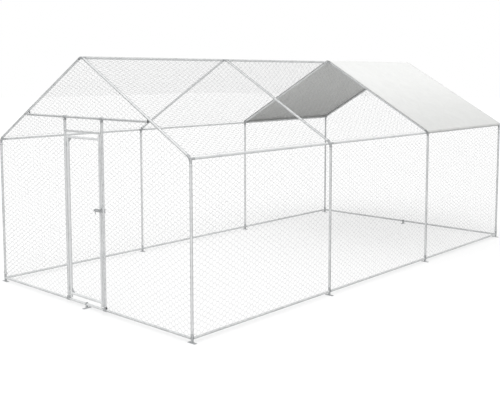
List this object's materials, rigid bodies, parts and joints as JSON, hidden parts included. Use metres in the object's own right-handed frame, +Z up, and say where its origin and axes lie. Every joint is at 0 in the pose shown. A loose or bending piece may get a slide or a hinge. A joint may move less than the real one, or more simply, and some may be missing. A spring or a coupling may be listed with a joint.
{
  "type": "walk-in poultry run",
  "caption": "Walk-in poultry run: pitched tube frame netted all round, hinged wire door with sliding latch in one gable, fabric cover over the far end of the roof.",
  "frame": {"origin": "on the ground at the middle of the plan, under the ridge", "axes": "+Z up, Y along the ridge with the door in the gable at -Y, X across, so +X is on the right of someone facing the door from outside"},
  "size_m": [3.09, 5.97, 2.4641],
  "materials": {
    "galvanised_tube": "satin galvanised steel tube",
    "galvanised_fitting": "dull galvanised steel fittings",
    "wire_netting": "galvanised wire netting",
    "black_plastic": "black moulded plastic",
    "cover_sheet": "white coated woven sheet"
  },
  "bodies": {
    "frame": {"base_connector_front_middle": "galvanised_fitting", "base_connector_rear_middle": "galvanised_fitting", "base_connectors_left": "galvanised_fitting", "base_connectors_right": "galvanised_fitting", "door_header": "galvanised_tube", "door_lintel": "galvanised_tube", "door_post_knobs": "black_plastic", "door_post_left": "galvanised_tube", "door_post_right": "galvanised_tube", "door_post_tees": "galvanised_fitting", "door_stop": "galvanised_fitting", "eave_elbows_left": "galvanised_fitting", "eave_elbows_right": "galvanised_fitting", "eave_rails_left": "galvanised_tube", "eave_rails_right": "galvanised_tube", "ground_rails_front": "galvanised_tube", "ground_rails_left": "galvanised_tube", "ground_rails_rear": "galvanised_tube", "ground_rails_right": "galvanised_tube", "header_brackets": "galvanised_fitting", "header_plugs": "black_plastic", "hinge_eyes": "galvanised_fitting", "latch_keeper": "galvanised_fitting", "net_front_left": "wire_netting", "net_front_right": "wire_netting", "net_gable_top": "wire_netting", "net_over_door": "wire_netting", "net_rear": "wire_netting", "net_roof_left": "wire_netting", "net_roof_right": "wire_netting", "net_side_left": "wire_netting", "net_side_right": "wire_netting", "post_front_left": "galvanised_tube", "post_front_right": "galvanised_tube", "post_mid_1_left": "galvanised_tube", "post_mid_1_right": "galvanised_tube", "post_mid_2_left": "galvanised_tube", "post_mid_2_right": "galvanised_tube", "post_rear_left": "galvanised_tube", "post_rear_right": "galvanised_tube", "rafter_front_left": "galvanised_tube", "rafter_front_right": "galvanised_tube", "rafter_mid_1_left": "galvanised_tube", "rafter_mid_1_right": "galvanised_tube", "rafter_mid_2_left": "galvanised_tube", "rafter_mid_2_right": "galvanised_tube", "rafter_rear_left": "galvanised_tube", "rafter_rear_right": "galvanised_tube", "ridge_elbows": "galvanised_fitting", "ridge_rails": "galvanised_tube", "roof_cover": "cover_sheet"},
    "door": {"door_gussets": "galvanised_fitting", "door_net": "wire_netting", "door_rail_bottom": "galvanised_tube", "door_rail_top": "galvanised_tube", "door_stile_hinge_side": "galvanised_tube", "door_stile_latch_side": "galvanised_tube", "hinge_pins": "galvanised_fitting", "latch_plate": "galvanised_fitting"},
    "latch_bolt": {"latch_bolt": "galvanised_fitting"}
  },
  "joints": [
    {"name": "door_swing", "type": "hinge", "parent": "frame", "child": "door", "pos_m": [-0.2725, -2.94, 0.9], "axis": [0, 0, -1], "range_deg": [0, 105]},
    {"name": "latch_slide", "type": "slide", "parent": "door", "child": "latch_bolt", "axis": [1, 0, 0], "range_m": [0, 0.032]}
  ]
}
